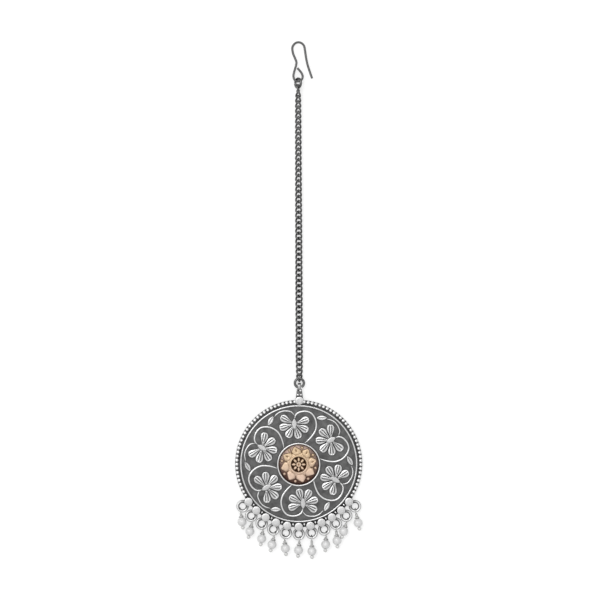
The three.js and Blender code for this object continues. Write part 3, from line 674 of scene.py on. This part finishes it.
def make_bail(metal, bead_metal):
    bm = bmesh.new()
    top = BAIL_TOP - BAIL_WALL / 2
    bottom = BAIL_TOP - BAIL_WALL - BAIL_SLOT_LENGTH - BAIL_WALL / 2
    half = BAIL_SLOT_HALF + BAIL_WALL / 2
    turns = [(math.cos(math.radians(a)), math.sin(math.radians(a))) for a in range(-90, 91, 15)]
    line = [Vector((0, top - half + half * x, STRUNG_HEIGHT + half * z)) for x, z in turns]
    line += [Vector((0, bottom + half - half * x, STRUNG_HEIGHT + half * z)) for x, z in reversed(turns)]
    sweep(bm, line, BAIL_WALL / 2, closed=True, up=Vector((1, 0, 0)), flat=BAIL_WIDTH / BAIL_WALL)
    foot_end = bottom + FOOT_OVERLAP
    foot_middle = (BEAD_CIRCLE + foot_end) / 2
    place = Matrix.Translation((0, foot_middle, FOOT_HEIGHT))
    stretch = Matrix.Diagonal((2, foot_end - BEAD_CIRCLE, FOOT_THICKNESS, 1))
    block = bmesh.ops.create_cube(bm, size=1, matrix=place @ stretch)
    for v in block["verts"]:
        v.co.x *= FOOT_HALF_WIDTH if v.co.y < foot_middle else FOOT_TOP_HALF_WIDTH
    bmesh.ops.bevel(bm, geom=list({e for v in block["verts"] for e in v.link_edges}), offset=FOOT_ROUNDING,
                    offset_type="OFFSET", affect="EDGES", segments=3, profile=0.5, material=-1)
    bmesh.ops.translate(bm, vec=(BAIL_OFFSET, 0, 0), verts=bm.verts)
    finish_piece("bail", bm, [metal])
    beads = bmesh.new()
    for x, y in BAIL_BEAD_PLACES:
        ball(beads, BAIL_BEAD_RADIUS, Matrix.Translation((BAIL_OFFSET + x, y, BAIL_BEAD_HEIGHT)))
    finish_piece("bail_beads", beads, [bead_metal])


def make_rosette(gold, ground, core):
    middle = Matrix.Translation((0, -BEZEL_DROP, 0))
    base = bmesh.new()
    disc = [(0, ROSETTE_FLOOR), (ROSETTE_RADIUS, ROSETTE_FLOOR), (ROSETTE_RADIUS, ROSETTE_TOP - ROSETTE_EDGE),
            (ROSETTE_RADIUS - ROSETTE_EDGE, ROSETTE_TOP), (HUB_MIDDLE, ROSETTE_TOP), (0, ROSETTE_TOP)]
    lathe(base, disc, middle, steps=72)
    for face in base.faces:
        reach = max(math.hypot(v.co.x, v.co.y + BEZEL_DROP) for v in face.verts)
        face.material_index = 1 if reach < HUB_MIDDLE + 0.1 else 0
    finish_piece("rosette_ground", base, [ground, core], ["rosette"])
    bm = bmesh.new()
    hub = [(across * HUB_HALF_WIDTH + HUB_MIDDLE, ROSETTE_TOP + up) for across, up in HUB_PROFILE]
    lathe(bm, hub, middle, steps=64, hoop=True)
    collar = [(radius, ROSETTE_TOP + up) for radius, up in COLLAR_PROFILE]
    lathe(bm, collar, middle, steps=64, hoop=True)
    step = 360 / ROSETTE_PETALS
    length = ROSETTE_PETAL_REACH - HUB_MIDDLE - HUB_HALF_WIDTH
    for i in range(ROSETTE_PETALS):
        bearing = ROSETTE_BEARING + i * step
        petal = at(polar(ROSETTE_PETAL_REACH - length / 2, bearing, ROSETTE_TOP), bearing)
        nick = NICK_DEPTH if math.sin(math.radians(bearing)) > 0.1 else 0
        raised(bm, middle @ petal, arrow, length, ROSETTE_PETAL_WIDTH, ROSETTE_PETAL_RISE,
               nick=nick, lean=ROSETTE_PETAL_LEAN)
        dot = Matrix.Translation(polar(DOT_REACH, bearing + DOT_TURN + step / 2, ROSETTE_TOP))
        ball(bm, DOT_RADIUS, middle @ dot, rise=DOT_RISE)
        seed = at(polar(HUB_SEED_REACH, i * step, ROSETTE_TOP), i * step)
        raised(bm, middle @ seed, spindle, HUB_SEED_LENGTH, HUB_SEED_WIDTH, HUB_SEED_RISE)
    lathe(bm, [(radius, ROSETTE_TOP + up) for radius, up in BOSS_PROFILE], middle, steps=28)
    finish_piece("rosette_flower", bm, [gold])


def strand_place():
    """Hangs the chain, the upper ring and the hook from the lower ring, as one."""
    turn = Matrix.Rotation(math.radians(STRAND_LEAN), 4, "Z")
    return Matrix.Translation((BAIL_OFFSET, JUMP_RING_Y, 0)) @ turn @ Matrix.Translation((0, -JUMP_RING_Y, 0))


def link_line():
    """One curb link's line: an oval twisted about its own length."""
    line = []
    for i in range(LINK_STEPS):
        angle = 2 * math.pi * (i + 0.5) / LINK_STEPS
        x = LINK_MIDDLE * math.cos(angle)
        y = LINK_MIDDLE * math.sin(angle)
        y += (LINK_END - LINK_MIDDLE) * max(-1, min(1, y / LINK_BEND))
        twist = -math.radians(LINK_TWIST) * max(-0.5, min(0.5, y / (2 * LINK_END)))
        line.append(Vector((x * math.cos(twist), y, -x * math.sin(twist))))
    return line


def make_chain(metal):
    bm = bmesh.new()
    strand = strand_place()
    for i in range(LINK_COUNT):
        from_hook = 1 - i / (LINK_COUNT - 1)
        roll = Matrix.Rotation(-math.radians(column(ROLL_ROWS, from_hook, "roll")), 4, "Y")
        height = lerp(STRUNG_HEIGHT, HOOK_RING_HEIGHT, column(ROLL_ROWS, from_hook, "climb"))
        place = strand @ Matrix.Translation((0, FIRST_LINK_Y + i * LINK_PITCH, height)) @ roll
        line = [place @ point for point in link_line()]
        sweep(bm, line, LINK_WIRE, sides=8, closed=True, up=(place.to_3x3() @ Vector((0, 0, 1))))
    finish_piece("curb_chain", bm, [metal], ["chain"])


def make_jump_ring(name, place, metal, gap_bearing, gap):
    bm = bmesh.new()
    start = gap_bearing + gap / 2
    line = [polar(JUMP_MIDDLE, start + (360 - gap) * i / 36) for i in range(37)]
    sweep(bm, [place @ point for point in line], JUMP_WIRE, sides=14, up=place.to_3x3() @ Vector((0, 0, 1)))
    finish_piece(name + "_wire", bm, [metal], [name])


def hook_line():
    """The hook's line round its eye's middle: the point, the kink, the crook, the waist and the eye."""
    outer = CROOK_OFFSET + CROOK_RADIUS
    points = [Vector((outer + POINT_SPLAY, CROOK_RISE - POINT_DROP, 0)),
              Vector((outer + KINK_SPLAY, CROOK_RISE - POINT_DROP * KINK_SHARE, 0))]
    crook = [polar(CROOK_RADIUS, angle) for angle in CROOK_ANGLES]
    points += [Vector((CROOK_OFFSET + point.x, CROOK_RISE + CROOK_STRETCH * point.y, 0)) for point in crook]
    points += [Vector((CROOK_OFFSET + x, CROOK_RISE + y, 0)) for x, y in SHANK_POINTS]
    points += [Vector((WAIST_OFFSET, CROOK_RISE * WAIST_SHARE, 0)), Vector((*EYE_START, 0))]
    points += [polar(EYE_RADIUS, angle) for angle in EYE_ANGLES]
    points += [Vector((x, y, 0)) for x, y in EYE_END_POINTS]
    return curve_through(points, 8)


def make_hook(metal):
    bm = bmesh.new()
    fall = math.asin((HOOK_RING_HEIGHT - HOOK_WIRE) / (CROOK_RISE + CROOK_RADIUS + EYE_RADIUS))
    place = (strand_place() @ Matrix.Translation((0, EYE_Y, HOOK_RING_HEIGHT - EYE_RADIUS * math.sin(fall)))
             @ Matrix.Rotation(-fall, 4, "X"))
    sweep(bm, [place @ point for point in hook_line()], HOOK_WIRE, sides=12)
    finish_piece("hair_hook", bm, [metal], ["hook"])


def make_drop(i, wire, tip_metal, painted_shade_wire, nacre):
    """One pearl and its pin: a flattened tip, a shank, a coil over the pearl, and an eye through the ring."""
    row = DROP_ROWS[i]
    reach = row["reach"] * DROP_REACH - DROP_SHIFT
    rise = (PEARL_RADIUS - RING_HEIGHT) / reach
    down = polar(math.sqrt(1 - rise ** 2), 270 + row["turn"], rise)
    bearing = 270 + (i - (FRINGE_COUNT - 1) / 2) * FRINGE_STEP
    middle = polar(FRINGE_CIRCLE, bearing, RING_HEIGHT) + polar(RING_MIDDLE, 270 + row["hold"])
    middle += down * (reach + PIN_EYE_SLIP)
    # The drop's own Z runs from its tip up to its eye, and its origin is the pearl's middle.
    place = Matrix.Translation(middle) @ Vector((0, 0, -1)).rotation_difference(down).to_matrix().to_4x4()
    bore = math.asin(PEARL_BORE / PEARL_RADIUS)
    arc = [lerp(-math.pi / 2 + bore, math.pi / 2 - bore, n / 18) for n in range(19)]
    number = f"{i + 1:02d}"
    bead = bmesh.new()
    drilled = [(PEARL_RADIUS * math.cos(a), PEARL_RADIUS * math.sin(a)) for a in arc]
    lathe(bead, drilled, place, steps=32, hoop=True)
    finish_piece("round_pearl_" + number, bead, [nacre], ["pearl_" + number])
    bm = bmesh.new()
    ball_top = -PEARL_RADIUS - PIN_BALL_GAP
    button = [(PIN_BALL_RADIUS * across, ball_top + PIN_BALL_RADIUS * up) for across, up in TIP_PROFILE]
    lathe(bm, button, place, steps=20)
    for face in bm.faces:
        face.material_index = 1
    neck = reach - PIN_EYE_MIDDLE
    straight = [place @ Vector((0, 0, z)) for z in (ball_top - 0.2, neck)]
    sweep(bm, straight, PIN_WIRE, up=place.to_3x3() @ Vector((1, 0, 0)))
    turns = (neck - PEARL_RADIUS) / (2 * PIN_WIRE)
    steps = int(turns * 12)
    coil = []
    for n in range(steps + 1):
        share = n / steps
        narrowed = min(1, share * turns / COIL_NARROWING_TURNS)
        spread = NECK_RADIUS - PIN_WIRE * 0.4 + COIL_SPREAD * (1 - narrowed) ** 0.4
        shoulder = math.sqrt(PEARL_RADIUS ** 2 - spread ** 2) + PIN_WIRE
        height = max(shoulder, lerp(PEARL_RADIUS, neck - PIN_WIRE * 0.4, share))
        coil.append(place @ polar(spread, 360 * turns * share, height))
    sweep(bm, coil, PIN_WIRE * COIL_WIRE_SHARE, sides=8, up=place.to_3x3() @ Vector((0, 0, 1)))
    side = Vector((0, 0, 1)).cross(down).normalized()
    above = down.cross(side)
    eye = [place @ Vector((0, 0, reach)) + (above * math.cos(a) + down * math.sin(a)) * PIN_EYE_MIDDLE
           for a in [2 * math.pi * n / 24 for n in range(24)]]
    # The part of the eye inside the ring's hole takes the chain's darker wire as painted shade.
    below_eye = set(bm.faces)
    sweep(bm, eye, PIN_WIRE, sides=8, closed=True, up=side)
    for face in set(bm.faces) - below_eye:
        if (place.inverted() @ face.calc_center_median()).z > reach + 0.3:
            face.material_index = 2
    finish_piece("head_pin_" + number, bm, [wire, tip_metal, painted_shade_wire], ["pin_" + number])


def make_surroundings():
    floor_mesh = bmesh.new()
    bmesh.ops.create_grid(floor_mesh, x_segments=1, y_segments=1, size=2)
    mesh = bpy.data.meshes.new("tabletop")
    floor_mesh.to_mesh(mesh)
    floor_mesh.free()
    opal, tree, _ = new_finish("opal_light_table")
    shader = add_node(tree, "ShaderNodeBsdfPrincipled",
                      {"Base Color": linear(TABLE_GREY), "Roughness": 0.8,
                       "Emission Color": (1, 1, 1, 1), "Emission Strength": TABLE_GLOW})
    add_node(tree, "ShaderNodeOutputMaterial", links={"Surface": shader.outputs[0]})
    mesh.materials.append(opal)
    floor = bpy.data.objects.new("tabletop", mesh)
    bpy.context.collection.objects.link(floor)
    world = bpy.data.worlds.new("studio")
    bpy.context.scene.world = world
    world.use_nodes = True
    sky = world.node_tree
    direction = add_node(sky, "ShaderNodeTexCoord").outputs["Generated"]
    height = add_node(sky, "ShaderNodeSeparateXYZ", links={0: direction}).outputs["Z"]
    level = add_node(sky, "ShaderNodeMapRange",
                     {"From Max": ZENITH_FROM, "To Min": HORIZON_LIGHT, "To Max": ZENITH_LIGHT},
                     {"Value": height})
    sky.nodes["Background"].inputs["Color"].default_value = (1, 1, 1, 1)
    sky.links.new(level.outputs["Result"], sky.nodes["Background"].inputs["Strength"])
    for row in LAMPS:
        light = bpy.data.lights.new(row["name"], "AREA")
        light.size = row["size"]
        light.energy = row["power"]
        lamp = bpy.data.objects.new(row["name"], light)
        lamp.location = row["place"]
        lamp.rotation_euler = [math.radians(a) for a in row["turn"]]
        bpy.context.collection.objects.link(lamp)


def make_camera():
    """Straight above, with its middle a little right of the chain."""
    camera = bpy.data.cameras.new("overhead")
    camera.lens = LENS
    camera.sensor_width = SENSOR
    holder = bpy.data.objects.new("overhead_camera", camera)
    holder.location = (*VIEW_MIDDLE, VIEW_WIDTH * camera.lens / camera.sensor_width)
    bpy.context.collection.objects.link(holder)
    bpy.context.scene.camera = holder
    bpy.context.scene.view_settings.view_transform = "Standard"


# Flat ground between the raised forms, nearly black with a grey bloom
field = oxidised_silver("blackened_field", "#363636", "#646464", 0.95, 1.35, (0.5, 0.45),
                        patch=1.6, uneven=1.3)
# Petals, grey in their grooves and at the foot and silver on top
relief = oxidised_silver("rubbed_relief", "#444444", "#c1c1c1", FIELD_TOP + 0.1, FIELD_TOP + 0.32,
                         uneven=0.5)
# Leaves by the border, a little less rubbed than the petals
leaf_metal = oxidised_silver("rubbed_leaves", "#404040", "#b4b4b4", FIELD_TOP + 0.1, FIELD_TOP + 0.32)
# Long seeds in the flowers, brightest at their shoulders, with a greyer crown that is painted shade
seed_metal = oxidised_silver("rubbed_seeds_painted_shade", "#404040", "#c7c7c7", FIELD_TOP + 0.1, FIELD_TOP + 0.35,
                             (0.5, 0.4), crown=("#a5a5a5", FIELD_TOP + 0.58, FIELD_TOP + 0.68))
# Scrolls and stems, with a black foot
line_metal = oxidised_silver("rubbed_lines", "#383838", "#bebebe", FIELD_TOP + 0.1, FIELD_TOP + 0.25)
# Smooth wire inside the beads
border = oxidised_silver("rubbed_border", "#383838", "#bbbbbb", FIELD_TOP + 0.2, FIELD_TOP + 0.42)
# Wall round the rosette, bright along its top and black down its sides
bezel = oxidised_silver("rubbed_bezel", "#383838", "#c9c9c9", FIELD_TOP + 0.34, FIELD_TOP + 0.66)
# Beads along the rim, bright with black between them
rim_metal = oxidised_silver("rubbed_beads", "#2c2c2c", "#d7d7d7", RIM_TOP - 0.12, RIM_TOP + 0.2)
# Domes: a bright edge round a greyer top, with a black foot and dark bevel outside it. The black foot and
# bevel are a painted shadow outline, and the greyer top is painted shade
dome_metal = oxidised_silver("polished_domes_painted_shade", "#303030", "#d1d1d1", RIM_TOP + 0.76, RIM_TOP + 0.92,
                             (0.5, 0.45), crown=("#afafaf", RIM_TOP + 0.985, RIM_TOP + 1.03))
# Fringe rings, darkened towards the plate and the domes as painted shade
ring_metal = oxidised_silver("rubbed_rings_painted_shade", "#404040", "#c3c3c3", RING_HEIGHT + 0.1, RING_HEIGHT + 0.38,
                             (0.5, 0.45), plate_shade=(20.2, 22.2))
# Bail, dull grey, and the bright beads on it
bail_metal = oxidised_silver("rubbed_bail", "#383838", "#999999", 1.2, 1.9)
bail_beads = oxidised_silver("rubbed_bail_beads", "#303030", "#d3d3d3", 1.6, 2)
# Rosette: matt gold tone with brown lines, a cloudy copper ground that is darker towards the fringe, and a
# burnt centre inside the hub
gold = oxidised_silver("matt_gold_plate", "#5a3c28", "#b8a286", ROSETTE_TOP - 0.05, ROSETTE_TOP + 0.26,
                       (0.6, 0.5), lower="#bca594")
copper = oxidised_silver("dark_copper_ground", "#54403a", "#b8a296", 0.9, 1.7, (0.5, 0.5),
                         patch=1.4, uneven=1.3, lower="#5e4238")
pit = oxidised_silver("burnt_centre", "#20140c", "#3e2818", 0.9, 1.7, (0.6, 0.6), patch=1.4, uneven=1.1)
# Chain and jump rings, and the hook's slightly darker wire
dark_wire = drawn_wire("blackened_wire", "#646464", 0.3)
hook_wire = drawn_wire("blackened_hook_wire", "#585858", 0.3)
# Pins, satin bright, with duller and paler tips
bright_wire = drawn_wire("plated_wire", "#d1d1d0", 0.5)
tip_metal = drawn_wire("frosted_tips", "#e1e1e0", 0.7)
nacre = pearl_finish()

make_plate(field, border)
make_bezel(bezel)
make_rim(rim_metal, dome_metal, ring_metal)
make_flowers(relief, seed_metal, leaf_metal, line_metal)
make_bail(bail_metal, bail_beads)
make_rosette(gold, copper, pit)
make_chain(dark_wire)
make_jump_ring("jump_ring", Matrix.Translation((BAIL_OFFSET, JUMP_RING_Y, STRUNG_HEIGHT)), dark_wire, 282, 36)
hook_ring_place = strand_place() @ Matrix.Translation((0, HOOK_RING_Y, HOOK_RING_HEIGHT))
hook_ring_place = hook_ring_place @ Matrix.Rotation(-math.radians(HOOK_RING_ROLL), 4, "Y")
make_jump_ring("hook_ring", hook_ring_place, dark_wire, 180, 4)
make_hook(hook_wire)
for i in range(FRINGE_COUNT):
    make_drop(i, bright_wire, tip_metal, dark_wire, nacre)
make_surroundings()
make_camera()
